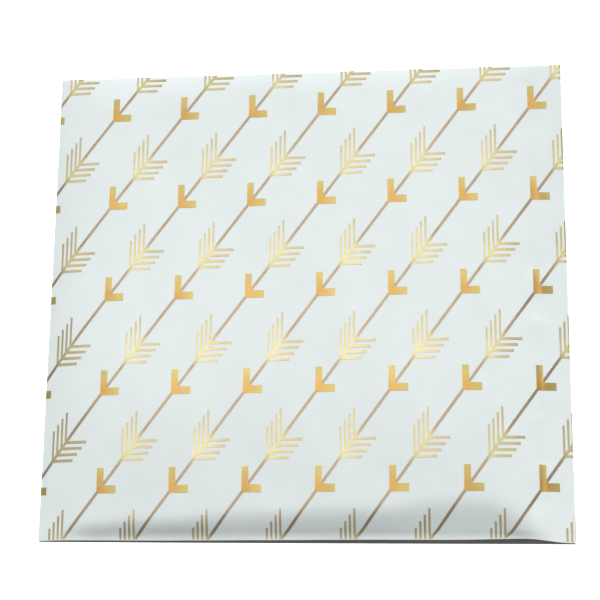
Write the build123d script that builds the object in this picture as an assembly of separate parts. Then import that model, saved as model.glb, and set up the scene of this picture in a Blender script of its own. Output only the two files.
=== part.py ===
from build123d import *
from math import atan2, cos, degrees, pi, radians, sin
import os

os.makedirs("parts", exist_ok=True)

# ---- driving dimensions, millimetres ----
BAG_W = 160.0            # across the mouth, X
BAG_L = 150.0            # mouth to closed end, Y
PAPER = 0.18             # coated gift-wrap paper
FOIL = 0.04              # stamped foil, pressed flush into the paper
GLUE = 0.03              # dried glue line
INNER_GAP = 0.36         # air between the two walls next to a fold

TAB_W = 9.0              # side-seam tab, glued to the outside of the back wall
TAB_MITRE = 4.0          # corner trimmed off the tab at the mouth
FLAP_L = 15.0            # closed-end flap, glued to the outside of the back wall
GLUE_INSET = 1.2         # glue stops this far inside a tab's edges

SHOULDER = 65.0          # side to where each side crease meets the mouth
CREASE_GAP = 0.16        # the bending line itself, between two stiff facets
CORNER_CLEAR = 1.6       # facets at the sides stop this far from the closed end
REST_OPEN = 1.3          # degrees the front wall stands off the back one at rest

# ---- print repeat: foil arrows, each shaft running on into the next ----
PITCH_X = 21.96
PITCH_Y = 30.02
PRINT_TURN = 0.23        # degrees the print sits out of square with the blank
HEAD_X0 = -60.35         # first arrow head, from the middle of the bag
HEAD_Y0 = 61.2
HEAD_BAR = (2.05, 2.4)   # thickness of the upright and of the level bar
HEAD_REACH = (5.9, 7.8)  # how far the level and the upright bar run
HEAD_CORNER = (-1.85, -1.55)
SHAFT_W = 0.88
SHAFT_RISE = 0.92        # shaft line's height above the head's lattice point
BARBS = 4
BARB_FIRST = 5.72        # lowest barb, right of the lattice point
BARB_STEP = 1.35
BARB_W = (0.64, 0.84)
BARB_REACH = (6.55, 9.3)

# ---- levels of the flat bag, from the table up ----
OUTER_Z = 0.0                                # tab and flap
GLUE_Z = OUTER_Z + PAPER
BACK_Z = GLUE_Z + GLUE
FRONT_Z = BACK_Z + PAPER + INNER_GAP
TOP_Z = FRONT_Z + PAPER

WRAP_R = (TOP_Z - OUTER_Z) / 2               # front wall round to tab or flap
FOLD_R = (TOP_Z - BACK_Z) / 2                # front wall round to back wall
HALF_W = BAG_W / 2
HALF_L = BAG_L / 2
RIGHT_X = HALF_W - WRAP_R                    # centre lines of the three folds
LEFT_X = -HALF_W + FOLD_R
HINGE_Y = HALF_L - WRAP_R
HINGE_Z = OUTER_Z + WRAP_R
MOUTH_Y = -HALF_L

SLANT = atan2(SHOULDER, HINGE_Y - MOUTH_Y)   # crease against the bag's length
REST_FOLD = REST_OPEN / (2 * sin(SLANT))     # each side crease at rest


def crease_x(side, y):
    """Where a side crease is at height y; side is +1 right, -1 left."""
    corner = RIGHT_X if side > 0 else LEFT_X
    return corner - side * SHOULDER * (HINGE_Y - y) / (HINGE_Y - MOUTH_Y)


def centre_outline(end_y):
    """The middle facet, between the two side creases."""
    inset = CREASE_GAP / 2 / cos(SLANT)
    return Polygon(
        (crease_x(-1, end_y) + inset, end_y),
        (crease_x(1, end_y) - inset, end_y),
        (crease_x(1, MOUTH_Y) - inset, MOUTH_Y),
        (crease_x(-1, MOUTH_Y) + inset, MOUTH_Y),
        align=None,
    )


def side_outline(side, inner_x, outer_x):
    """A side facet from its crease, or from inner_x, out to outer_x."""
    inset = CREASE_GAP / 2 / cos(SLANT)
    top_y = HINGE_Y - CORNER_CLEAR
    start = (crease_x(side, MOUTH_Y) + side * inset, MOUTH_Y)
    tip = (crease_x(side, top_y) + side * inset, top_y)
    outline = Polygon(start, (outer_x, MOUTH_Y), (outer_x, top_y), tip, align=None)
    width = abs(outer_x - inner_x)
    strip = Pos((inner_x + outer_x) / 2, 0) * Rectangle(width, 2 * BAG_L)
    return outline & strip


def bar(x, y, width, height):
    """A bar whose lower left corner is at x, y."""
    return Pos(x + width / 2, y + height / 2) * Rectangle(width, height)


def arrow():
    """One repeat: head, shaft up to the next head, and the barbs on it."""
    cx, cy = HEAD_CORNER
    head = bar(cx, cy, HEAD_BAR[0], HEAD_REACH[1]) + bar(cx, cy, HEAD_REACH[0], HEAD_BAR[1])
    rise = PITCH_Y / PITCH_X
    half = SHAFT_W / 2 / cos(atan2(PITCH_Y, PITCH_X))
    x0 = cx + HEAD_BAR[0] - 0.4
    x1 = PITCH_X + cx - 0.1
    y0 = x0 * rise + SHAFT_RISE
    y1 = x1 * rise + SHAFT_RISE
    shaft = Polygon(
        (x0, y0 - half), (x1, y1 - half), (x1, y1 + half), (x0, y0 + half), align=None
    )
    motif = head + shaft
    for n in range(BARBS):
        x = BARB_FIRST + n * BARB_STEP
        y = x * rise + SHAFT_RISE
        motif += bar(x - BARB_W[0] / 2, y, BARB_W[0], BARB_REACH[1])
        motif += bar(x, y - BARB_W[1] / 2, BARB_REACH[0], BARB_W[1])
    return motif.rotate(Axis.Z, PRINT_TURN)


ARROW = arrow()
ARROW_MIRRORED_X = mirror(ARROW, Plane.YZ)
ARROW_MIRRORED_Y = mirror(ARROW, Plane.XZ)


def heads():
    """Lattice points of the print over the whole blank, wraps included."""
    c = cos(radians(PRINT_TURN))
    s = sin(radians(PRINT_TURN))
    for row in range(-1, 6):
        for col in range(-10, 10):
            x = HEAD_X0 + col * PITCH_X
            y = HEAD_Y0 - row * PITCH_Y
            yield x * c - y * s, x * s + y * c


def print_on(outline, motif, place):
    """The foil on one facet; place maps a point of the blank to the facet."""
    box = outline.bounding_box()
    pieces = []
    for blank_x, blank_y in heads():
        x, y = place(blank_x, blank_y)
        reach_x = PITCH_X * 1.1
        reach_y = PITCH_Y * 1.1
        if not box.min.X - reach_x < x < box.max.X + reach_x:
            continue
        if not box.min.Y - reach_y < y < box.max.Y + reach_y:
            continue
        cut = (Pos(x, y) * motif) & outline
        pieces += [face for face in cut.faces() if face.area > 0.2]
    return pieces


def on_front(x, y):
    return x, y


def on_back(x, y):
    return 2 * -HALF_W - x, y


def on_tab(x, y):
    return 2 * HALF_W - x, y


def on_flap(x, y):
    return x, 2 * HALF_L - y


def sheet(outline, z):
    """A flat piece of paper whose lower face is at z."""
    return extrude(Pos(0, 0, z) * outline, PAPER, dir=(0, 0, 1))


def stamped(outline, z, outward, motif, place):
    """A sheet and the foil pressed into its outer face."""
    foil_z = z + PAPER - FOIL if outward > 0 else z
    foil = [
        extrude(Pos(0, 0, foil_z) * face, FOIL, dir=(0, 0, 1))
        for face in print_on(outline, motif, place)
    ]
    foil_group = Compound([solid for part in foil for solid in part.solids()])
    paper = sheet(outline, z) - foil
    return paper, foil_group


def fold_strip(radius, start, end, length):
    """Part of a paper tube along X, from start to end degrees around it."""
    outer = [
        (radius * cos(radians(a)), radius * sin(radians(a)))
        for a in (start, (start + end) / 2, end)
    ]
    inner_r = radius - PAPER
    inner = [
        (inner_r * cos(radians(a)), inner_r * sin(radians(a)))
        for a in (end, (start + end) / 2, start)
    ]
    edges = [
        ThreePointArc(*outer),
        Line(outer[2], inner[0]),
        ThreePointArc(*inner),
        Line(inner[2], outer[0]),
    ]
    profile = Plane.YZ * make_face(edges)
    return extrude(profile, length / 2, both=True)


def turn(part, origin, direction, angle):
    return part.rotate(Axis(origin, direction), angle)


def crease_line(side, z):
    corner = RIGHT_X if side > 0 else LEFT_X
    origin = (corner, HINGE_Y, z)
    direction = (-side * SHOULDER, MOUTH_Y - HINGE_Y, 0)
    return origin, direction


def raise_back(part, side):
    """Lift a back side facet about its crease to the rest pose."""
    origin, direction = crease_line(side, BACK_Z + PAPER / 2)
    return turn(part, origin, direction, side * REST_FOLD)


def open_front(part):
    """Swing a front piece up about the closed end to the rest pose."""
    return turn(part, (0, HINGE_Y, HINGE_Z), (-1, 0, 0), REST_OPEN)


def lower_front(part, side):
    """Drop a front side facet about its crease, then swing it up."""
    origin, direction = crease_line(side, FRONT_Z + PAPER / 2)
    return open_front(turn(part, origin, direction, -side * REST_FOLD))


def centre_walls():
    front, front_foil = stamped(
        centre_outline(HINGE_Y), FRONT_Z, 1, ARROW, on_front
    )
    back_end = HALF_L - WRAP_R - 0.05
    back, back_foil = stamped(
        centre_outline(back_end), BACK_Z, -1, ARROW_MIRRORED_X, on_back
    )
    return {
        "front_centre": open_front(front),
        "foil_front_centre": open_front(front_foil),
        "back_centre": back,
        "foil_back_centre": back_foil,
    }


def side_walls(side, name):
    fold_x = RIGHT_X if side > 0 else LEFT_X
    outline = side_outline(side, 0, fold_x)
    front, front_foil = stamped(outline, FRONT_Z, 1, ARROW, on_front)
    back, back_foil = stamped(outline, BACK_Z, -1, ARROW_MIRRORED_X, on_back)
    return {
        f"front_{name}": lower_front(front, side),
        f"foil_front_{name}": lower_front(front_foil, side),
        f"back_{name}": raise_back(back, side),
        f"foil_back_{name}": raise_back(back_foil, side),
    }


def side_fold(side, radius, centre_z):
    """The bend down one side; it stops short of the front wall, which turns."""
    top_y = HINGE_Y - CORNER_CLEAR
    length = top_y - MOUTH_Y
    strip = fold_strip(radius, -90, 25, length)
    fold_x = RIGHT_X if side > 0 else LEFT_X
    strip = strip.rotate(Axis.Z, -90 if side > 0 else 90)
    return raise_back(Pos(fold_x, (top_y + MOUTH_Y) / 2, centre_z) * strip, side)


def seam_outline(inset):
    """The tab, mitred along the crease and trimmed at the mouth."""
    inner_x = HALF_W - TAB_W + inset
    outer_x = RIGHT_X - inset
    outline = side_outline(1, inner_x, outer_x)
    trim = Polygon(
        (inner_x - 1, MOUTH_Y - 1),
        (inner_x + TAB_MITRE / 2, MOUTH_Y - 1),
        (inner_x - 1, MOUTH_Y + TAB_MITRE),
        align=None,
    )
    border = Pos(0, inset) * Rectangle(2 * BAG_W, BAG_L)
    return (outline - trim) & border


def seam():
    tab, tab_foil = stamped(seam_outline(0), OUTER_Z, -1, ARROW_MIRRORED_X, on_tab)
    glue = extrude(Pos(0, 0, GLUE_Z) * seam_outline(GLUE_INSET), GLUE, dir=(0, 0, 1))
    return {
        "seam_tab": raise_back(tab, 1),
        "foil_seam_tab": raise_back(tab_foil, 1),
        "seam_glue": raise_back(glue, 1),
    }


def flap_outline(inset):
    """The closed-end flap, its corners mitred along the creases."""
    start = HINGE_Y - inset
    end = HALF_L - FLAP_L + inset
    strip = Pos(0, (start + end) / 2) * Rectangle(2 * BAG_W, start - end)
    return centre_outline(HINGE_Y) & strip


def flap():
    paper, foil = stamped(flap_outline(0), OUTER_Z, -1, ARROW_MIRRORED_Y, on_flap)
    glue = extrude(Pos(0, 0, GLUE_Z) * flap_outline(GLUE_INSET), GLUE, dir=(0, 0, 1))
    strip = fold_strip(WRAP_R, -90, 45, RIGHT_X - LEFT_X - 1.0)
    middle_x = (RIGHT_X + LEFT_X) / 2
    return {
        "bottom_flap": paper,
        "foil_bottom_flap": foil,
        "bottom_glue": glue,
        "bottom_fold": Pos(middle_x, HINGE_Y, HINGE_Z) * strip,
    }


nodes = {}
nodes.update(centre_walls())
nodes.update(side_walls(-1, "left"))
nodes.update(side_walls(1, "right"))
nodes["left_fold"] = side_fold(-1, FOLD_R, BACK_Z + FOLD_R)
nodes["right_fold"] = side_fold(1, WRAP_R, OUTER_Z + WRAP_R)
nodes.update(seam())
nodes.update(flap())

for name, part in nodes.items():
    part.label = name
    export_step(part, f"parts/{name}.step")
    box = part.bounding_box()
    print(f"{name:20s} {len(part.solids()):3d} solids  {part.volume:9.2f} mm3  {box.min} {box.max}")
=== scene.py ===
import math

import bpy
import numpy as np
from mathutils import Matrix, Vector


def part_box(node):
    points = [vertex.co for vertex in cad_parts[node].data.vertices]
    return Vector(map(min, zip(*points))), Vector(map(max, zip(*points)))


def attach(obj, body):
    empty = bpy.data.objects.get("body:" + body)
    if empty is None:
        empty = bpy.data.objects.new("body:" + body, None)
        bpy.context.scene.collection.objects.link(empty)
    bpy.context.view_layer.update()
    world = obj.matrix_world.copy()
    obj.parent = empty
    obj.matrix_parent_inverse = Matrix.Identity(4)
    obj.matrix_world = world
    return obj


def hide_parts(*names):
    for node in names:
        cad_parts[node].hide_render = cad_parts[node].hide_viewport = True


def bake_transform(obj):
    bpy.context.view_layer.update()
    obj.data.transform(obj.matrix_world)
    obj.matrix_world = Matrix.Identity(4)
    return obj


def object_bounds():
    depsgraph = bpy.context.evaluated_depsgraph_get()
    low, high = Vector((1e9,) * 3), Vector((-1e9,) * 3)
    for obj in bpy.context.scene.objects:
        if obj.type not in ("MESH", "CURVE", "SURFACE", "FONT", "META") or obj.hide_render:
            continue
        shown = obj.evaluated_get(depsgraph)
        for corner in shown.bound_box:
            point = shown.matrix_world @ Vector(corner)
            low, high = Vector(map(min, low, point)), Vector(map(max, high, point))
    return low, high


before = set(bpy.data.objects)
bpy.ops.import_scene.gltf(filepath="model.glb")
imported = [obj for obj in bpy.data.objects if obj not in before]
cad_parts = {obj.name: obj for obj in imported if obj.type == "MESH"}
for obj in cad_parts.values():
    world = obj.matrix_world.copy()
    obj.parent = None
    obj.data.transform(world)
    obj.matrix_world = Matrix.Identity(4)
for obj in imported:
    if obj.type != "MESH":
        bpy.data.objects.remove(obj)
CAD_LOW, CAD_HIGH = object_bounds()

MM = 0.001

# ---- the bag's outline, from the frame ----
HALF_W = (CAD_HIGH.x - CAD_LOW.x) / 2
HALF_L = (CAD_HIGH.y - CAD_LOW.y) / 2
PAPER = 0.18 * MM
HINGE_Y = HALF_L - 0.465 * MM
BACK_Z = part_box("back_centre")[0].z
TAB_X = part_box("seam_tab")[0].x
FLAP_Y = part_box("bottom_flap")[0].y

# ---- the folds: a bend's outer radius, and the front wall's wrap round it ----
LEFT_BEND_R = 0.26 * MM
RIGHT_BEND_R = 0.465 * MM
END_BEND_R = 0.465 * MM
OVER = 0.19 * MM                   # the front wall lies this far outside a bend
SLACK = 0.06 * MM                  # a side bend is this much tighter, so the opening wall cuts it less
LEFT_X = -HALF_W + LEFT_BEND_R + OVER
RIGHT_X = HALF_W - RIGHT_BEND_R - OVER
END_Y = HALF_L - END_BEND_R - OVER
FOLD_Z = 0.47 * MM
WRAP = math.radians(118)           # how far the front wall goes round a side fold
END_WRAP = math.radians(96)        # and round the closed end
CORNER_POWER = 8                   # how tightly a fold at the side meets the one at the end
BEND_SWEEP = math.radians(150)     # how far a bend goes up from its lowest line
BEND_STEP = math.radians(12)
BEND_STOP = 1.6 * MM               # a side bend and the tab stop this far from the end fold
GLUE_INSET = 1.2 * MM              # the glue stays this far inside what it holds
GLUE_THICK = 0.03 * MM
FOIL_TOP = 0.03 * MM               # the foil's two faces, from the paper's outer face
FOIL_TOP_GLUED = 0.02 * MM
FOIL_ROOT = -0.02 * MM

# ---- creases at the sides ----
SHOULDER = 65.0 * MM
SOFT_CREASE = 9.0 * MM             # the two points each side of a crease lie this far from it

# ---- how the paper stands at rest ----
CLIMB = 0.040                      # the front wall's steady rise from the closed end
END_LIFT = (0.4 * MM, 4.0 * MM)    # the quick rise just inside that end, its reach
DROOP = 0.072                      # how much less it rises towards the mouth
DROOP_FROM = 112.0 * MM            # where that starts, from the closed end
DROOP_SOFT = 8.0 * MM              # and over how much paper
END_FREE = 12.0 * MM               # the slow waves start this gradually from the closed end
SIDE_REACH = 9.0 * MM              # how soon the wall rises from a side fold
SEAM_W = 9.0 * MM                  # the stiff strip over the glued seam
SEAM_SHARE = 0.34                  # of the crown, where that strip ends
SEAM_ROUND = 0.08                  # how round the strip's two edges are
SEAM_REACH = 12.0 * MM             # how soon the free paper rises beyond it
CORNER_LIFT = 0.5 * MM             # the mouth's corners off the table
BACK_FLAT = 28.0 * MM              # the back wall's middle lies flat this far each way
BACK_LIFT_W = 50.0 * MM            # and lifts to its corners over this width
BACK_CURL = (0.12 * MM, 6.0 * MM)  # its slight curl at the mouth, height and reach

# ---- the roll and the lip at the mouth; pairs are left and right ----
ROLL_DROP = (1.2 * MM, 2.4 * MM)   # how far the front wall rolls down
ROLL_W = (5.5 * MM, 12.3 * MM)     # over how much paper
ROLL_POWER = (2.25, 1.15)          # how late the roll steepens
ROLL_ROUND = 0.13                  # how round it begins and ends
ROLL_FULL = 0.9                    # of the width, where the right-hand values hold
ROLL_SPREAD = 0.8                  # how early the roll widens between them
ROLL_UNEVEN = 0.07                 # of its width, how uneven it is
ROLL_END_X = 60.0 * MM             # where the roll starts to die out towards the seam
ROLL_END_SLANT = 0.8               # that place moves left this much for each step in
ROLL_END_W = 14.0 * MM
ROLL_START = 3.0 * MM              # and where it starts, from the left fold
ROLL_START_W = 15.0 * MM
LIP_W = (0.8 * MM, 2.1 * MM)       # the level lip along the mouth's edge
LIP_BACK = 0.24 * MM               # the front wall's edge lies this far behind the back one's
LIP_CURL = 1.10 * MM               # the lip curls under by parts of this
LIP_DEPTH = 4.0 * MM               # the curl is gone this far in
LIP_LEAST = 0.02                   # the curl's part at the left
LIP_GROWTH = 0.56                  # what it gains towards the right
LIP_GROWS_FROM = -60.0 * MM        # between here
LIP_GROWS_OVER = 100.0 * MM        # and this much further right
LIP_PEAK = (0.40, 64.0 * MM, 13.0 * MM)   # what it gains at its deepest, where, how wide
LIP_FADE = (12.0 * MM, 1.0 * MM, 13.0 * MM)   # its fade at the left, its stop at the right, that fade
MOUTH_Y = -HALF_L + LIP_BACK
CUT_SKEW = 0.45 * MM               # the mouth's cut runs this much out of square at each side
CUT_REACH = 25.0 * MM              # and the paper near it follows, this far in

# ---- puckers along the glued seam ----
GROOVE = (0.22 * MM, 10.6 * MM, 1.7 * MM)   # depth, place from the side, width
RIDGE = (0.18 * MM, 8.0 * MM, 1.3 * MM)
QUILT = (0.07 * MM, 9.2 * MM, 3.4 * MM)
TACK_DEPTH = 0.15 * MM
TACK_LENGTH = 1.1 * MM
TACK_WIDTH = 2.3 * MM
PUCKER_GAIN = 2.0                  # makes up for the small share of the crown there
PUCKER_FROM = 9.0 * MM             # the puckers start this gradually from the closed end
TACKS = (34.0 * MM, 7.0 * MM, -8.0 * MM, -37.0 * MM, -52.0 * MM)   # puckers down the seam


def soft_step(t):
    t = np.clip(t, 0, 1)
    return t * t * (3 - 2 * t)


def soft_clamp(t, k):
    """0 below 0, 1 above 1, with both corners rounded by k."""
    lower = np.logaddexp(0, t / k) * k
    upper = np.logaddexp(0, (t - 1) / k) * k
    return lower - upper


def rise(d, reach):
    return 1 - np.exp(-np.maximum(d, 0) / reach)


def bell(d, width):
    return np.exp(-((d / width) ** 2))


def between(pair, t):
    return pair[0] + (pair[1] - pair[0]) * t


def fold_z(y):
    """Height of a side fold's centre line: the mouth's corners curl up a little."""
    t = np.clip((END_Y - y) / (2 * HALF_L), 0, 1)
    return FOLD_Z + CORNER_LIFT * t ** 3


def left_share(x):
    return rise(x + HALF_W, SIDE_REACH)


def right_share(x):
    """The crown near the seam: a gentle stiff strip, then the free paper."""
    d = HALF_W - x
    strip = SEAM_SHARE * soft_clamp(d / SEAM_W, SEAM_ROUND)
    return strip + (1 - SEAM_SHARE) * rise(d - SEAM_W, SEAM_REACH)


def seam_puckers(x, y):
    """A shallow groove and ridge where the glue has drawn the paper in, and short slanting tacks."""
    d = HALF_W - x
    pull = 0.6 + 0.4 * np.sin(y / (7.3 * MM)) * np.sin(y / (17 * MM) + 1.0)
    groove = -GROOVE[0] * bell(d - GROOVE[1], GROOVE[2])
    ridge = RIDGE[0] * bell(d - RIDGE[1], RIDGE[2])
    quilt = QUILT[0] * np.sin(y / (2.9 * MM) + 2 * np.sin(y / (11 * MM)))
    total = (groove + ridge) * pull + quilt * bell(d - QUILT[1], QUILT[2])
    for n, place in enumerate(TACKS):
        slant = y - place + (0.5 - 0.3 * (n % 3)) * (d - 9 * MM)
        across = bell(d - (8.6 + 1.1 * (n % 2)) * MM, TACK_WIDTH)
        total = total - TACK_DEPTH * slant / MM * bell(slant, TACK_LENGTH) * across
    return total


def waves(x, y):
    """Slow unevenness of the whole wall: across it, along it, and slantwise, in millimetres."""
    total = 0.10 * np.sin(x / (15 * MM) + 0.6 * np.sin(y / (21 * MM)))
    total += 0.09 * np.sin(y / (18 * MM) - x / (42 * MM) + 1.7)
    total += 0.05 * np.sin((x + y) / (9.5 * MM) + 2.2 * np.sin(x / (33 * MM)))
    return total * MM


def crown(y):
    """The front wall's height over its side folds, far from them."""
    t = np.maximum(END_Y - y, 0)
    lost = DROOP * DROOP_SOFT * np.logaddexp(0, (t - DROOP_FROM) / DROOP_SOFT)
    return END_LIFT[0] * rise(t, END_LIFT[1]) + CLIMB * t - lost


def mouth_drop(x, y):
    """How far the front wall is below its crown because of the mouth."""
    d = np.maximum(y - MOUTH_Y, 0)
    across = np.clip((x + HALF_W) / (2 * ROLL_FULL * HALF_W), 0, 1)
    uneven = 1 + ROLL_UNEVEN * np.sin(x / (6.5 * MM) + 1.2) * np.sin(x / (19 * MM))
    band = between(ROLL_W, across ** ROLL_SPREAD) * uneven
    level = between(LIP_W, np.sqrt(across))
    t = (d - level) / (band - level)
    roll = soft_clamp(1 - t, ROLL_ROUND) ** between(ROLL_POWER, across)
    end_x = ROLL_END_X - ROLL_END_SLANT * d
    seam_side = 1 - soft_step((x - end_x) / ROLL_END_W)
    fold_side = soft_step((x + HALF_W - ROLL_START) / ROLL_START_W)
    return between(ROLL_DROP, across) * roll * seam_side * fold_side


def cut_shift(x, y):
    """Both walls: the mouth's cut is a little out of square."""
    near = 1 - soft_step((y + HALF_L) / CUT_REACH)
    return -CUT_SKEW * (x / HALF_W) * near


def lip_shift(x, y):
    """The front wall only: its lip curls under, most where it stands highest."""
    near = 1 - soft_step((y - MOUTH_Y) / LIP_DEPTH)
    grows = LIP_LEAST + LIP_GROWTH * soft_step((x - LIP_GROWS_FROM) / LIP_GROWS_OVER)
    grows = grows + LIP_PEAK[0] * bell(x - LIP_PEAK[1], LIP_PEAK[2])
    left_fade = soft_step((x + HALF_W) / LIP_FADE[0])
    right_fade = soft_step((HALF_W - x - LIP_FADE[1]) / LIP_FADE[2])
    return LIP_CURL * grows * right_fade * left_fade * near


def front_height(x, y):
    """Outer face of the front wall at rest, over the flat part of the blank."""
    share = left_share(x) * right_share(x)
    edge = fold_z(y) + END_BEND_R + OVER
    edge = edge - (RIGHT_BEND_R - LEFT_BEND_R) * (1 - soft_step((x + HALF_W) / (2 * HALF_W)))
    free = share * soft_step((END_Y - y) / END_FREE)
    z = edge + (crown(y) - mouth_drop(x, y)) * share
    puckers = seam_puckers(x, y) * soft_step((END_Y - y) / PUCKER_FROM) * share * PUCKER_GAIN
    return z + waves(x, y) * free + puckers


def round_fold(value, tangent, radius, sense):
    """Split a blank coordinate into its place and its angle round the fold."""
    over = np.maximum(sense * (value - tangent), 0)
    angle = over / radius
    inside = np.minimum(sense * value, sense * tangent) * sense
    return inside + sense * radius * np.sin(angle), radius * (1 - np.cos(angle))


def front_surface(u, v):
    """Blank coordinates to space, wrapped round both sides and the end."""
    left_r = LEFT_BEND_R + OVER
    right_r = RIGHT_BEND_R + OVER
    end_r = END_BEND_R + OVER
    x_left, drop_left = round_fold(u, LEFT_X, left_r, -1)
    x_right, drop_right = round_fold(u, RIGHT_X, right_r, 1)
    x = np.where(u < 0, x_left, x_right)
    y, drop_end = round_fold(v, END_Y, end_r, 1)
    flat_x = np.clip(u, LEFT_X, RIGHT_X)
    flat_y = np.minimum(v, END_Y)
    drop_side = np.where(u < 0, drop_left, drop_right)
    corner = (drop_side ** CORNER_POWER + drop_end ** CORNER_POWER) ** (1 / CORNER_POWER)
    z = front_height(flat_x, flat_y) - corner
    y = y + cut_shift(flat_x, flat_y) + lip_shift(flat_x, flat_y)
    return np.stack([x, y, z], -1)


def back_height(x, y):
    """Outer, lower face of the back wall at rest."""
    lift = fold_z(y) - FOLD_Z
    near_side = soft_step((np.abs(x) - BACK_FLAT) / BACK_LIFT_W)
    mouth_curl = BACK_CURL[0] * bell(y + HALF_L, BACK_CURL[1]) * (1 - near_side)
    return BACK_Z + lift * near_side + mouth_curl


def back_surface(u, v):
    """The back wall seen from below, so its outer face looks down."""
    return np.stack([u, v + cut_shift(u, v), back_height(u, v)], -1)


def tab_surface(u, v):
    """The tab's outer face, which lies one paper and its glue below the back wall."""
    z = back_height(u, v) - BACK_Z
    return np.stack([u, v + cut_shift(u, v), z], -1)


def flap_surface(u, v):
    """The flap's outer face, flat on the table."""
    return np.stack([u, v, np.zeros_like(u)], -1)


def bend_surface(side, radius, tangent_x):
    """A side bend: u is the angle up from its lowest line, v runs along it."""
    def place(u, v):
        x = tangent_x + side * (radius - SLACK) * np.sin(u)
        z = fold_z(v) - SLACK - (radius - SLACK) * np.cos(u)
        return np.stack([x, v + cut_shift(x, v), z], -1)
    return place


def end_bend_surface(u, v):
    """The closed end's bend: u runs across the bag, v is the angle round it."""
    y = HINGE_Y + END_BEND_R * np.sin(v)
    z = FOLD_Z - END_BEND_R * np.cos(v)
    return np.stack([u, y, z], -1)


# ---- cutting flat outlines into a grid that follows the surface ----
SMALLEST_CELL = 1e-12              # square metres; less is no face
KEYS_PER_METRE = 1e8               # points closer than this are one point
NORMAL_STEP = 0.02 * MM            # for finding a surface's normal
UV_PER_METRE = 10                  # the blank's texture coordinates
SHARP = math.radians(48)


def clip(points, axis, limit, keep_above):
    """A convex outline cut by one grid line."""
    kept = []
    for i, here in enumerate(points):
        there = points[(i + 1) % len(points)]
        a = (here[axis] - limit) if keep_above else (limit - here[axis])
        b = (there[axis] - limit) if keep_above else (limit - there[axis])
        if a >= 0:
            kept.append(here)
        if (a > 0 > b) or (a < 0 < b):
            t = a / (a - b)
            cut = [here[0] + t * (there[0] - here[0]), here[1] + t * (there[1] - here[1])]
            cut[axis] = limit
            kept.append(tuple(cut))
    return kept


def outline_area(points):
    total = 0.0
    for i, (x, y) in enumerate(points):
        nx, ny = points[(i + 1) % len(points)]
        total += x * ny - nx * y
    return total / 2


def slices(points, lines, axis):
    """The outline cut into strips along every grid line it crosses."""
    low = min(p[axis] for p in points)
    high = max(p[axis] for p in points)
    first = max(int(np.searchsorted(lines, low, side="right")) - 1, 0)
    last = min(int(np.searchsorted(lines, high, side="left")), len(lines) - 1)
    for i in range(first, last):
        piece = points
        if low < lines[i]:
            piece = clip(piece, axis, lines[i], True)
        if len(piece) > 2 and high > lines[i + 1]:
            piece = clip(piece, axis, lines[i + 1], False)
        if len(piece) > 2:
            yield piece


def cut_to_grid(points, u_lines, v_lines):
    """Every grid cell's share of a convex outline."""
    if outline_area(points) < 0:
        points = points[::-1]
    for strip in slices(points, u_lines, 0):
        for cell in slices(strip, v_lines, 1):
            if abs(outline_area(cell)) > SMALLEST_CELL:
                yield cell


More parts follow.
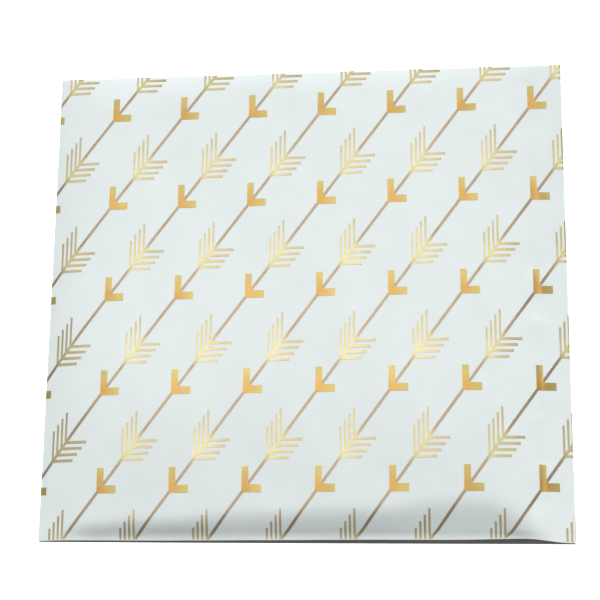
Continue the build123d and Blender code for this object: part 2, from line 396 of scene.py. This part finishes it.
class Layer:
    """A closed thin layer of paper, foil or glue laid on a surface."""

    def __init__(self, surface, out, under, flip=False):
        self.surface = surface
        self.out = out
        self.under = under
        self.flip = flip
        self.points = []
        self.tints = []
        self.faces = []
        self.rims = []

    def add(self, outline, u_lines, v_lines, tint=None):
        """Cut one outline to the grid; its own rim is kept for the side walls."""
        index = {}
        edges = {}
        for cell in cut_to_grid(outline, u_lines, v_lines):
            ring = []
            for p in cell:
                key = (round(p[0] * KEYS_PER_METRE), round(p[1] * KEYS_PER_METRE))
                if key not in index:
                    index[key] = len(self.points)
                    self.points.append(p)
                    self.tints.append(tint(p) if tint else (1, 1, 1))
                if not ring or ring[-1] != index[key]:
                    ring.append(index[key])
            if ring[0] == ring[-1]:
                ring.pop()
            if len(ring) < 3:
                continue
            self.faces.append(ring)
            for a, b in zip(ring, ring[1:] + ring[:1]):
                edges[(a, b)] = True
        self.rims += [(a, b) for a, b in edges if (b, a) not in edges]

    def normals(self, u, v):
        """Unit normals of the surface, towards the layer's outer side."""
        step = NORMAL_STEP
        du = self.surface(u + step, v) - self.surface(u - step, v)
        dv = self.surface(u, v + step) - self.surface(u, v - step)
        normal = np.cross(du, dv)
        normal /= np.linalg.norm(normal, axis=1)[:, None]
        return -normal if self.flip else normal

    def mark_blank(self, mesh, uv):
        """Texture coordinates that follow the flat blank, for the paper's grain."""
        blank = mesh.uv_layers.new(name="blank")
        loops = np.zeros(len(mesh.loops), int)
        mesh.loops.foreach_get("vertex_index", loops)
        both = np.vstack([uv, uv]) * UV_PER_METRE
        blank.data.foreach_set("uv", both[loops].astype(np.float32).ravel())

    def mark_tints(self, mesh):
        tint = mesh.attributes.new("foil_tint", "FLOAT_COLOR", "POINT")
        rows = np.ones((2 * len(self.tints), 4), np.float32)
        rows[:, :3] = np.vstack([self.tints, self.tints])
        tint.data.foreach_set("color", rows.ravel())

    def build(self, name, materials):
        """The mesh: outer faces, under faces and the walls between; materials in that order."""
        uv = np.array(self.points)
        place = self.surface(uv[:, 0], uv[:, 1])
        normal = self.normals(uv[:, 0], uv[:, 1])
        count = len(uv)
        verts = np.vstack([place + normal * self.out, place + normal * self.under])
        outer = [ring[::-1] for ring in self.faces] if self.flip else self.faces
        under = [[i + count for i in ring[::-1]] for ring in outer]
        rims = [(b, a) if self.flip else (a, b) for a, b in self.rims]
        walls = [[a + count, b + count, b, a] for a, b in rims]
        mesh = bpy.data.meshes.new(name)
        mesh.from_pydata(verts.tolist(), [], outer + under + walls)
        mesh.update()
        for material in materials:
            mesh.materials.append(material)
        zones = [0] * len(outer) + [1] * len(under) + [2] * len(walls)
        last = len(materials) - 1
        mesh.polygons.foreach_set("material_index", [min(z, last) for z in zones])
        self.mark_blank(mesh, uv)
        if any(t != (1, 1, 1) for t in self.tints):
            self.mark_tints(mesh)
        mesh.polygons.foreach_set("use_smooth", [True] * len(mesh.polygons))
        mesh.set_sharp_from_angle(angle=SHARP)
        piece = bpy.data.objects.new(name, mesh)
        bpy.context.scene.collection.objects.link(piece)
        return piece


def spaced(low, high, step):
    """Evenly spaced grid lines, about a step apart."""
    count = max(int(round((high - low) / step)), 1)
    return np.linspace(low, high, count + 1)


def joined(*runs):
    """Several runs of grid lines as one, with shared ends kept once."""
    return np.unique(np.round(np.concatenate(runs), 9))


ARC_LEFT = (LEFT_BEND_R + OVER) * WRAP
ARC_RIGHT = (RIGHT_BEND_R + OVER) * WRAP
ARC_END = (END_BEND_R + OVER) * END_WRAP
TIGHT_GRID = 0.11 * MM              # round the left fold, which is the tightest
FOLD_GRID = 0.15 * MM
LIP_GRID = 0.25 * MM
ROLL_GRID = 0.5 * MM
WALL_GRID = 1.0 * MM
BACK_GRID = 1.25 * MM
LEFT_ZONE = LEFT_X + 4 * MM
SEAM_ZONE = RIGHT_X - 14 * MM
LIP_ZONE = MOUTH_Y + 4 * MM
ROLL_ZONE = MOUTH_Y + 16 * MM
END_ZONE = END_Y - 6 * MM
U_LEFT = joined(
    spaced(LEFT_X - ARC_LEFT, LEFT_X, TIGHT_GRID),
    spaced(LEFT_X, LEFT_ZONE, ROLL_GRID),
    spaced(LEFT_ZONE, 0, WALL_GRID),
)
U_RIGHT = joined(
    spaced(0, SEAM_ZONE, WALL_GRID),
    spaced(SEAM_ZONE, RIGHT_X, ROLL_GRID),
    spaced(RIGHT_X, RIGHT_X + ARC_RIGHT, FOLD_GRID),
)
V_FRONT = joined(
    spaced(MOUTH_Y, LIP_ZONE, LIP_GRID),
    spaced(LIP_ZONE, ROLL_ZONE, ROLL_GRID),
    spaced(ROLL_ZONE, END_ZONE, WALL_GRID),
    spaced(END_ZONE, END_Y, ROLL_GRID),
    spaced(END_Y, END_Y + ARC_END, FOLD_GRID),
)
BACK_END = HINGE_Y - 0.1 * MM
U_BACK = joined(spaced(LEFT_X, 0, BACK_GRID), spaced(0, RIGHT_X, BACK_GRID))
V_BACK = spaced(-HALF_L, BACK_END, BACK_GRID)

# ---- the print: one arrow, in the blank's own millimetres ----
PITCH_X = 21.96
PITCH_Y = 30.02
PRINT_TURN = math.radians(0.23)     # the print sits this much out of square
HEAD_X0 = -60.35
HEAD_Y0 = 61.2
RISE = PITCH_Y / PITCH_X
SHAFT_LINE = 0.92                  # the shaft's height over the lattice point
SHAFT_W = 0.88
SHAFT_HALF = SHAFT_W / 2 * math.hypot(PITCH_X, PITCH_Y) / PITCH_X
HEAD_X = -1.85                     # the head's outer corner, from the lattice point
HEAD_Y = -1.55
HEAD_BLUNT = (0.5, 0.68)           # cut off that corner, across and up
BAR_W = 2.05                       # the head's upright bar
BAR_H = 2.4                        # and its level one
LEVEL_REACH = 5.9
UPRIGHT_REACH = 7.8
BARB_X = 5.72                      # the lowest barb
BARB_STEP = 1.35
BARBS = 4
BARB_HALF = (0.32, 0.42)           # half the width of an upright and a level barb
BARB_REACH = (6.55, 9.3)           # how far a level and an upright one go out
ROWS = range(-2, 7)
COLUMNS = range(-10, 10)
ARROW_REACH = (24.0 * MM, 32.0 * MM)   # no arrow reaches further than this from its point
PRINT_EDGE = 0.3 * MM              # the foil stops this far from the mouth's cut
SLIVER = 0.55 * MM                 # a bar cut thinner than this doesn't take the foil

ORANGE_GOLD = (0.56, 0.33, 0.085)
OLIVE_GOLD = (0.52, 0.43, 0.15)
PALE_GOLD = (0.64, 0.56, 0.285)
TAN_GOLD = (0.52, 0.43, 0.25)
ROSE_BROWN = (0.39, 0.30, 0.19)


def mix(a, b, t):
    t = min(max(t, 0.0), 1.0)
    return tuple(p + (q - p) * t for p, q in zip(a, b))


def head_parts():
    x1 = HEAD_X + BAR_W
    upright = [
        (HEAD_X + HEAD_BLUNT[0], HEAD_Y), (x1, HEAD_Y), (x1, HEAD_Y + UPRIGHT_REACH),
        (HEAD_X, HEAD_Y + UPRIGHT_REACH), (HEAD_X, HEAD_Y + HEAD_BLUNT[1]),
    ]
    level = [
        (x1, HEAD_Y), (HEAD_X + LEVEL_REACH, HEAD_Y),
        (HEAD_X + LEVEL_REACH, HEAD_Y + BAR_H), (x1, HEAD_Y + BAR_H),
    ]

    def tint(x, y):
        far = max((x - HEAD_X - 1.5) / 4.4, (y - HEAD_Y - 2.0) / 5.8)
        return mix(ORANGE_GOLD, OLIVE_GOLD, far)
    return [(upright, tint), (level, tint)]


def shaft_part():
    """From the head's inner corner to the next head's blunted outer corner."""
    x0 = HEAD_X + BAR_W
    y0 = HEAD_Y + BAR_H
    low = SHAFT_LINE - SHAFT_HALF
    high = SHAFT_LINE + SHAFT_HALF
    x1 = PITCH_X + HEAD_X
    y1 = PITCH_Y + HEAD_Y
    outline = [
        ((y0 - low) / RISE, y0), ((y1 - low) / RISE, y1), (x1, x1 * RISE + high),
        (x0, x0 * RISE + high), (x0, y0),
    ]

    def tint(x, y):
        under_barbs = (x - BARB_X + 1.2) / 2.0
        after = (x - BARB_X - (BARBS - 1) * BARB_STEP) / 2.0
        if after > 0:
            return mix(PALE_GOLD, ROSE_BROWN, after)
        return mix(ROSE_BROWN, PALE_GOLD, under_barbs)
    return outline, tint


def barb_parts():
    low = SHAFT_LINE - SHAFT_HALF
    high = SHAFT_LINE + SHAFT_HALF
    wx, wy = BARB_HALF
    made = []
    for n in range(BARBS):
        x = BARB_X + n * BARB_STEP
        y = x * RISE + SHAFT_LINE
        upright = [
            (x - wx, (x - wx) * RISE + high), (x + wx, (x + wx) * RISE + high),
            (x + wx, y + BARB_REACH[1]), (x - wx, y + BARB_REACH[1]),
        ]
        level = [
            ((y - wy - low) / RISE, y - wy), (x + BARB_REACH[0], y - wy),
            (x + BARB_REACH[0], y + wy), ((y + wy - low) / RISE, y + wy),
        ]

        def tint(px, py, x=x, y=y, n=n):
            out = max((px - x) / BARB_REACH[0], (py - y) / BARB_REACH[1])
            return mix(PALE_GOLD, TAN_GOLD, 0.17 * n + 0.75 * (out - 0.2))
        made += [(upright, tint), (level, tint)]
    return made


ARROW = head_parts() + [shaft_part()] + barb_parts()


def clipped(points, area):
    """Convex outline inside a convex area given by its corners, in order."""
    for i, (ax, ay) in enumerate(area):
        bx, by = area[(i + 1) % len(area)]
        nx, ny = ay - by, bx - ax
        kept = []
        for k, here in enumerate(points):
            there = points[(k + 1) % len(points)]
            a = (here[0] - ax) * nx + (here[1] - ay) * ny
            b = (there[0] - ax) * nx + (there[1] - ay) * ny
            if a >= 0:
                kept.append(here)
            if (a > 0 > b) or (a < 0 < b):
                t = a / (a - b)
                kept.append((here[0] + t * (there[0] - here[0]), here[1] + t * (there[1] - here[1])))
        points = kept
        if len(points) < 3:
            return []
    return points


def turned(x, y):
    """Print coordinates turned with the print."""
    c = math.cos(PRINT_TURN)
    s = math.sin(PRINT_TURN)
    return x * c - y * s, x * s + y * c


def stamp_foil(layer, area, u_lines, v_lines, to_wall, sense):
    """Lay every arrow that falls in the area; sense mirrors the print."""
    sx, sy = sense
    us = [p[0] for p in area]
    vs = [p[1] for p in area]
    reach_u, reach_v = ARROW_REACH
    for row in ROWS:
        for col in COLUMNS:
            cx, cy = to_wall(*turned(HEAD_X0 + col * PITCH_X, HEAD_Y0 - row * PITCH_Y))
            near_u = min(us) - reach_u < cx * MM < max(us) + reach_u
            near_v = min(vs) - reach_v < cy * MM < max(vs) + reach_v
            if not (near_u and near_v):
                continue
            for outline, tint in ARROW:
                points = [turned(x, y) for x, y in outline]
                placed = [((cx + sx * x) * MM, (cy + sy * y) * MM) for x, y in points]
                if outline_area(placed) < 0:
                    placed = placed[::-1]
                placed = clipped(placed, area)
                heights = [p[1] for p in placed]
                if len(placed) < 3 or max(heights) - min(heights) < SLIVER:
                    continue

                def tone(p, cx=cx, cy=cy, tint=tint):
                    return tint((p[0] / MM - cx) * sx, (p[1] / MM - cy) * sy)
                layer.add(placed, u_lines, v_lines, tone)


# where a print point lands on each part; the back, tab and flap are turned over
def on_front(x, y):
    return x, y


def on_back(x, y):
    return -2 * HALF_W / MM - x, y


def on_tab(x, y):
    return 2 * HALF_W / MM - x, y


def on_flap(x, y):
    return x, 2 * HALF_L / MM - y


# ---- materials ----
def group(name, inputs, outputs):
    tree = bpy.data.node_groups.new(name, "ShaderNodeTree")
    for label, kind, value in inputs:
        socket = tree.interface.new_socket(label, in_out="INPUT", socket_type=kind)
        if value is not None:
            socket.default_value = value
    for label, kind in outputs:
        tree.interface.new_socket(label, in_out="OUTPUT", socket_type=kind)
    return tree, tree.nodes.new("NodeGroupInput"), tree.nodes.new("NodeGroupOutput")


def noise(tree, scale, detail, roughness, vector):
    node = tree.nodes.new("ShaderNodeTexNoise")
    node.inputs["Scale"].default_value = scale
    node.inputs["Detail"].default_value = detail
    node.inputs["Roughness"].default_value = roughness
    tree.links.new(vector, node.inputs["Vector"])
    return node.outputs["Fac"]


def maths(tree, operation, *values):
    node = tree.nodes.new("ShaderNodeMath")
    node.operation = operation
    for i, value in enumerate(values):
        if isinstance(value, (int, float)):
            node.inputs[i].default_value = value
        else:
            tree.links.new(value, node.inputs[i])
    return node.outputs[0]


def spread(tree, value, low, high, to_low=0.0, to_high=1.0):
    node = tree.nodes.new("ShaderNodeMapRange")
    node.inputs["From Min"].default_value = low
    node.inputs["From Max"].default_value = high
    node.inputs["To Min"].default_value = to_low
    node.inputs["To Max"].default_value = to_high
    tree.links.new(value, node.inputs["Value"])
    return node.outputs["Result"]


def scaled(tree, colour, factor):
    node = tree.nodes.new("ShaderNodeVectorMath")
    node.operation = "SCALE"
    tree.links.new(colour, node.inputs[0])
    tree.links.new(factor, node.inputs["Scale"])
    return node.outputs["Vector"]


def blank_place(tree):
    """The blank's own coordinates, so the grain stays with the paper."""
    node = tree.nodes.new("ShaderNodeUVMap")
    node.uv_map = "blank"
    return node.outputs["UV"]


def mixed(tree, factor, a, b):
    node = tree.nodes.new("ShaderNodeMix")
    node.data_type = "RGBA"
    for socket, value in ((node.inputs[0], factor), (node.inputs[6], a), (node.inputs[7], b)):
        if isinstance(value, tuple):
            socket.default_value = (*value, 1.0)
        else:
            tree.links.new(value, socket)
    return node.outputs[2]


def paper_fibre_group():
    """Paper's own grain: cloudy formation, short fibres and a fine tooth."""
    inputs = [
        ("Base", "NodeSocketColor", (0.8, 0.8, 0.8, 1.0)),
        ("Fibre", "NodeSocketColor", (0.6, 0.6, 0.6, 1.0)),
        ("Cloudiness", "NodeSocketFloat", 0.03),
        ("Fibre Amount", "NodeSocketFloat", 0.05),
        ("Tooth", "NodeSocketFloat", 0.5),
    ]
    outputs = [("Color", "NodeSocketColor"), ("Height", "NodeSocketFloat"), ("Mask", "NodeSocketFloat")]
    tree, given, out = group("PaperFibre", inputs, outputs)
    place = blank_place(tree)
    cloud = noise(tree, 9.0, 4.0, 0.6, place)
    cloud = spread(tree, cloud, 0.3, 0.7, -1.0, 1.0)
    stretch = tree.nodes.new("ShaderNodeMapping")
    stretch.inputs["Scale"].default_value = (1.0, 3.2, 1.0)
    stretch.inputs["Rotation"].default_value = (0.0, 0.0, 0.5)
    tree.links.new(place, stretch.inputs["Vector"])
    fibre = noise(tree, 210.0, 2.0, 0.5, stretch.outputs["Vector"])
    fibre = spread(tree, fibre, 0.60, 0.74)
    tooth = noise(tree, 640.0, 3.0, 0.6, place)
    light = maths(tree, "MULTIPLY_ADD", cloud, given.outputs["Cloudiness"], 1.0)
    clouded = scaled(tree, given.outputs["Base"], light)
    amount = maths(tree, "MULTIPLY", fibre, given.outputs["Fibre Amount"])
    colour = mixed(tree, amount, clouded, given.outputs["Fibre"])
    tree.links.new(colour, out.inputs["Color"])
    height = maths(tree, "MULTIPLY", tooth, given.outputs["Tooth"])
    height = maths(tree, "ADD", height, maths(tree, "MULTIPLY", cloud, 0.35))
    tree.links.new(height, out.inputs["Height"])
    tree.links.new(cloud, out.inputs["Mask"])
    return tree


def shader(name, roughness=0.5):
    material = bpy.data.materials.new(name)
    material.use_nodes = True
    tree = material.node_tree
    principled = tree.nodes["Principled BSDF"]
    principled.inputs["Roughness"].default_value = roughness
    return material, tree, principled


def bumped(tree, principled, height, distance, strength):
    bump = tree.nodes.new("ShaderNodeBump")
    bump.inputs["Distance"].default_value = distance
    bump.inputs["Strength"].default_value = strength
    tree.links.new(height, bump.inputs["Height"])
    tree.links.new(bump.outputs["Normal"], principled.inputs["Normal"])


def paper_material(name, fibres, base, fibre, cloudiness, amount, tooth, roughness, bump, specular):
    """A paper with the shared grain; amount is how much of the fibre colour shows."""
    material, tree, principled = shader(name)
    grain = tree.nodes.new("ShaderNodeGroup")
    grain.node_tree = fibres
    grain.inputs["Base"].default_value = (*base, 1.0)
    grain.inputs["Fibre"].default_value = (*fibre, 1.0)
    grain.inputs["Cloudiness"].default_value = cloudiness
    grain.inputs["Fibre Amount"].default_value = amount
    grain.inputs["Tooth"].default_value = tooth
    tree.links.new(grain.outputs["Color"], principled.inputs["Base Color"])
    rough = spread(tree, grain.outputs["Mask"], -1.0, 1.0, roughness - 0.04, roughness + 0.04)
    tree.links.new(rough, principled.inputs["Roughness"])
    bumped(tree, principled, grain.outputs["Height"], 0.02 * MM, bump)
    principled.inputs["Specular IOR Level"].default_value = specular
    return material


def make_materials():
    fibres = paper_fibre_group()
    coated = paper_material(
        "coated_mint_paper", fibres, base=(0.725, 0.785, 0.785), fibre=(0.61, 0.68, 0.68),
        cloudiness=0.022, amount=0.25, tooth=0.4, roughness=0.62, bump=0.35, specular=0.28,
    )
    # The inner paper gets a grey darker than its own white: painted shade, so the slit under the
    # mouth's lip and the bag's inside read dark.
    inner = paper_material(
        "inner_paper_darkened_as_shade", fibres, base=(0.56, 0.56, 0.53), fibre=(0.45, 0.43, 0.39),
        cloudiness=0.05, amount=0.6, tooth=1.0, roughness=0.85, bump=0.8, specular=0.2,
    )
    cut = paper_material(
        "cut_paper_edge", fibres, base=(0.82, 0.82, 0.80), fibre=(0.60, 0.58, 0.52),
        cloudiness=0.06, amount=0.8, tooth=1.2, roughness=0.9, bump=0.8, specular=0.15,
    )
    return {"paper": [coated, inner, cut], "foil": foil_material(), "glue": glue_material()}


def foil_material():
    """Stamped gold foil: warm tints from the print, with a fine broken gloss."""
    material, tree, principled = shader("stamped_gold_foil", roughness=0.3)
    place = blank_place(tree)
    tint = tree.nodes.new("ShaderNodeAttribute")
    tint.attribute_name = "foil_tint"
    flow = noise(tree, 14.0, 3.0, 0.5, place)
    speck = noise(tree, 420.0, 2.0, 0.6, place)
    light = spread(tree, flow, 0.3, 0.7, 0.90, 1.10)
    gilded = scaled(tree, tint.outputs["Color"], light)
    worn = spread(tree, speck, 0.66, 0.78, 0.0, 0.35)
    colour = mixed(tree, worn, gilded, (0.80, 0.76, 0.64))
    tree.links.new(colour, principled.inputs["Base Color"])
    rough = spread(tree, speck, 0.3, 0.7, 0.32, 0.44)
    tree.links.new(rough, principled.inputs["Roughness"])
    metal = spread(tree, speck, 0.60, 0.80, 0.52, 0.28)
    tree.links.new(metal, principled.inputs["Metallic"])
    bumped(tree, principled, speck, 0.01 * MM, 0.35)
    return material


def glue_material():
    """Dried paper adhesive, slightly yellow, with trapped bubbles."""
    material, tree, principled = shader("dried_glue", roughness=0.35)
    bubbles = noise(tree, 180.0, 2.0, 0.5, blank_place(tree))
    colour = mixed(tree, spread(tree, bubbles, 0.4, 0.7), (0.78, 0.72, 0.55), (0.88, 0.86, 0.78))
    tree.links.new(colour, principled.inputs["Base Color"])
    rough = spread(tree, bubbles, 0.3, 0.7, 0.25, 0.5)
    tree.links.new(rough, principled.inputs["Roughness"])
    bumped(tree, principled, bubbles, 0.02 * MM, 0.5)
    return material


def table_material():
    """Matt white, with a little light of its own so that it stays white in shade."""
    material, tree, principled = shader("white_table", roughness=0.7)
    grain = noise(tree, 60.0, 3.0, 0.5, tree.nodes.new("ShaderNodeTexCoord").outputs["Object"])
    colour = mixed(tree, grain, (0.93, 0.93, 0.93), (0.95, 0.95, 0.95))
    tree.links.new(colour, principled.inputs["Base Color"])
    principled.inputs["Specular IOR Level"].default_value = 0.1
    principled.inputs["Emission Color"].default_value = (1.0, 1.0, 1.0, 1.0)
    principled.inputs["Emission Strength"].default_value = 0.85
    return material


# ---- pieces ----
def rectangle(u0, u1, v0, v1):
    return [(u0, v0), (u1, v0), (u1, v1), (u0, v1)]


def crease(side):
    """Two points, one each side of the crease."""
    corner = Vector((RIGHT_X if side > 0 else LEFT_X, HINGE_Y, 0))
    mouth = Vector((corner.x - side * SHOULDER, -HALF_L, 0))
    along = (mouth - corner).normalized()
    across = Vector((-along.y, along.x, 0)) * side
    if across.x * side < 0:
        across = -across
    middle = (corner + mouth) / 2
    return middle - across * SOFT_CREASE, middle + across * SOFT_CREASE


def bend_over(piece, side):
    inner, outer = crease(side)
    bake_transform(piece)
    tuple(inner)
    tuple(outer)


def paper_layer(surface, flip):
    return Layer(surface, 0.0, -PAPER, flip)


def foil_layer(surface, flip, top=FOIL_TOP):
    return Layer(surface, top, FOIL_ROOT, flip)


def wall_half(kind, side, looks):
    """Half of the front or back wall, with the foil on it."""
    name = "right" if side > 0 else "left"
    front = kind == "front"
    surface = front_surface if front else back_surface
    if front:
        u_lines = U_RIGHT if side > 0 else U_LEFT
        v_lines = V_FRONT
    else:
        u_lines = U_BACK[U_BACK >= -1e-9] if side > 0 else U_BACK[U_BACK <= 1e-9]
        v_lines = V_BACK
    area = rectangle(u_lines[0], u_lines[-1], v_lines[0], v_lines[-1])
    printed = rectangle(u_lines[0], u_lines[-1], v_lines[0] + PRINT_EDGE, v_lines[-1])
    paper = paper_layer(surface, not front)
    paper.add(area, u_lines, v_lines)
    sheet = paper.build(f"{kind}_wall_{name}", looks["paper"])
    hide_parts(f"{kind}_centre", f"{kind}_{name}")
    bend_over(sheet, side)
    foil = foil_layer(surface, not front)
    placed = on_front if front else on_back
    stamp_foil(foil, printed, u_lines, v_lines, placed, (1, 1) if front else (-1, 1))
    arrows = foil.build(f"{kind}_arrows_{name}", [looks["foil"]])
    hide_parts(f"foil_{kind}_centre", f"foil_{kind}_{name}")
    bend_over(arrows, side)


def side_bend(side, looks):
    """The bend down one side, which the front wall lies over."""
    name = "right" if side > 0 else "left"
    radius = RIGHT_BEND_R if side > 0 else LEFT_BEND_R
    tangent = RIGHT_X if side > 0 else LEFT_X
    v_lines = spaced(-HALF_L, HINGE_Y - BEND_STOP, 1.5 * MM)
    u_lines = spaced(0, BEND_SWEEP, BEND_STEP)
    bend = Layer(bend_surface(side, radius, tangent), 0.0, -PAPER, side > 0)
    bend.add(rectangle(0, u_lines[-1], v_lines[0], v_lines[-1]), u_lines, v_lines)
    piece = bend.build(f"{name}_bend", looks["paper"])
    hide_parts(f"{name}_fold")
    bend_over(piece, side)


def end_bend(looks):
    """The bend at the closed end, under the front wall."""
    u_lines = spaced(LEFT_X + 0.3 * MM, RIGHT_X - 0.3 * MM, 2.0 * MM)
    v_lines = spaced(0, BEND_SWEEP, BEND_STEP)
    bend = Layer(end_bend_surface, 0.0, -PAPER, True)
    bend.add(rectangle(u_lines[0], u_lines[-1], 0, v_lines[-1]), u_lines, v_lines)
    piece = bend.build("end_bend", looks["paper"])
    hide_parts("bottom_fold")
    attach(piece, "back")


def tab_area(inset):
    """The seam tab, mitred along the crease and trimmed at the mouth."""
    u0 = TAB_X + inset
    u1 = RIGHT_X - inset
    v_low = -HALF_L + inset
    slope = (HINGE_Y + HALF_L) / SHOULDER
    v0 = HINGE_Y - (RIGHT_X - u0) * slope
    v1 = HINGE_Y - BEND_STOP - (RIGHT_X - u1) * slope
    return [(u0 + 2 * MM, v_low), (u1, v_low), (u1, v1), (u0, v0), (u0, v_low + 4 * MM)]


def flap_area(inset):
    """The end flap, mitred along both creases."""
    v0 = FLAP_Y + inset
    v1 = HINGE_Y - inset
    slant = SHOULDER / (HINGE_Y + HALF_L)
    return [
        (LEFT_X + (HINGE_Y - v0) * slant + inset, v0), (RIGHT_X - (HINGE_Y - v0) * slant - inset, v0),
        (RIGHT_X - (HINGE_Y - v1) * slant - inset, v1), (LEFT_X + (HINGE_Y - v1) * slant + inset, v1),
    ]


def glued_part(name, surface, area, glue_area, to_wall, sense, replaced, looks, settle):
    """A glued-down part with its foil and its glue; settle says how it moves."""
    u_lines = spaced(min(p[0] for p in area), max(p[0] for p in area), BACK_GRID)
    v_lines = spaced(min(p[1] for p in area), max(p[1] for p in area), BACK_GRID)
    paper = paper_layer(surface, True)
    paper.add(area, u_lines, v_lines)
    sheet = paper.build(name, looks["paper"])
    foil = foil_layer(surface, True, FOIL_TOP_GLUED)
    stamp_foil(foil, area, u_lines, v_lines, to_wall, sense)
    arrows = foil.build(f"{name}_arrows", [looks["foil"]])
    glue = Layer(surface, -PAPER, -PAPER - GLUE_THICK, True)
    glue.add(glue_area, u_lines, v_lines)
    line = glue.build(f"{name}_glue", [looks["glue"]])
    for piece, slot, node in zip((sheet, arrows, line), ("paper", "gold_foil", "glue"), replaced):
        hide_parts(node)
        settle(piece)


def make_bag(looks):
    for side in (-1, 1):
        wall_half("front", side, looks)
        wall_half("back", side, looks)
        side_bend(side, looks)
    end_bend(looks)
    glued_part(
        "side_tab", tab_surface, tab_area(0), tab_area(GLUE_INSET), on_tab, (-1, 1),
        ("seam_tab", "foil_seam_tab", "seam_glue"), looks,
        lambda piece: bend_over(piece, 1),
    )
    glued_part(
        "end_flap", flap_surface, flap_area(0), flap_area(GLUE_INSET), on_flap, (1, -1),
        ("bottom_flap", "foil_bottom_flap", "bottom_glue"), looks,
        lambda piece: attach(piece, "back"),
    )


# ---- table, light and camera ----
def make_table():
    mesh = bpy.data.meshes.new("table_top")
    reach = 3.0
    corners = [(-reach, -reach, 0), (reach, -reach, 0), (reach, reach, 0), (-reach, reach, 0)]
    mesh.from_pydata(corners, [], [(0, 1, 2, 3)])
    mesh.materials.append(table_material())
    table = bpy.data.objects.new("table_top", mesh)
    table.location.z = -0.03 * MM
    bpy.context.scene.collection.objects.link(table)


def key_light():
    """A low soft sun from beyond the closed end, which shades the roll; it leaves the gloss alone."""
    sun = bpy.data.lights.new("key_light", "SUN")
    sun.energy = 5.05
    sun.angle = math.radians(22)
    holder = bpy.data.objects.new("key_light", sun)
    holder.rotation_euler = Vector((0.09, 0.97, 0.58)).to_track_quat("Z", "Y").to_euler()
    holder.visible_glossy = False
    bpy.context.scene.collection.objects.link(holder)


def foil_softbox():
    """Overhead, seen only in the foil's gloss."""
    lamp = bpy.data.lights.new("foil_softbox", "AREA")
    lamp.shape = "RECTANGLE"
    lamp.size = 0.9
    lamp.size_y = 0.7
    lamp.energy = 5.0
    holder = bpy.data.objects.new("foil_softbox", lamp)
    place = Vector((-0.12, 0.30, 1.15))
    holder.location = place
    holder.rotation_euler = (-place).to_track_quat("-Z", "Y").to_euler()
    holder.visible_diffuse = False
    bpy.context.scene.collection.objects.link(holder)


def make_light():
    world = bpy.data.worlds.new("studio_air")
    world.use_nodes = True
    air = world.node_tree.nodes["Background"]
    air.inputs["Color"].default_value = (1.0, 1.0, 1.0, 1.0)
    air.inputs["Strength"].default_value = 0.20
    bpy.context.scene.world = world
    key_light()
    foil_softbox()
    view = bpy.context.scene.view_settings
    view.view_transform = "Standard"
    view.look = "None"
    view.exposure = 0.0


def make_camera():
    """Looks down at the middle of the bag, with the mouth level in view."""
    target = Vector((-1.5 * MM, -0.8 * MM, 2 * MM))
    azimuth = math.radians(21.62)
    elevation = math.radians(73.82)
    roll = math.radians(-21.80)
    distance = 0.4995
    back = Vector((
        math.sin(azimuth) * math.cos(elevation),
        -math.cos(azimuth) * math.cos(elevation),
        math.sin(elevation),
    ))
    lens = bpy.data.cameras.new("camera")
    lens.lens = 97.6
    lens.sensor_width = 36.0
    camera = bpy.data.objects.new("camera", lens)
    camera.location = target + back * distance
    turn = back.to_track_quat("Z", "Y").to_matrix()
    level_x = Vector((0, 0, 1)).cross(back).normalized()
    level_y = back.cross(level_x)
    right = level_x * math.cos(roll) + level_y * math.sin(roll)
    up = level_y * math.cos(roll) - level_x * math.sin(roll)
    turn.col[0], turn.col[1], turn.col[2] = right, up, back
    camera.rotation_euler = turn.to_euler()
    bpy.context.scene.collection.objects.link(camera)
    bpy.context.scene.camera = camera


make_bag(make_materials())
make_table()
make_light()
make_camera()
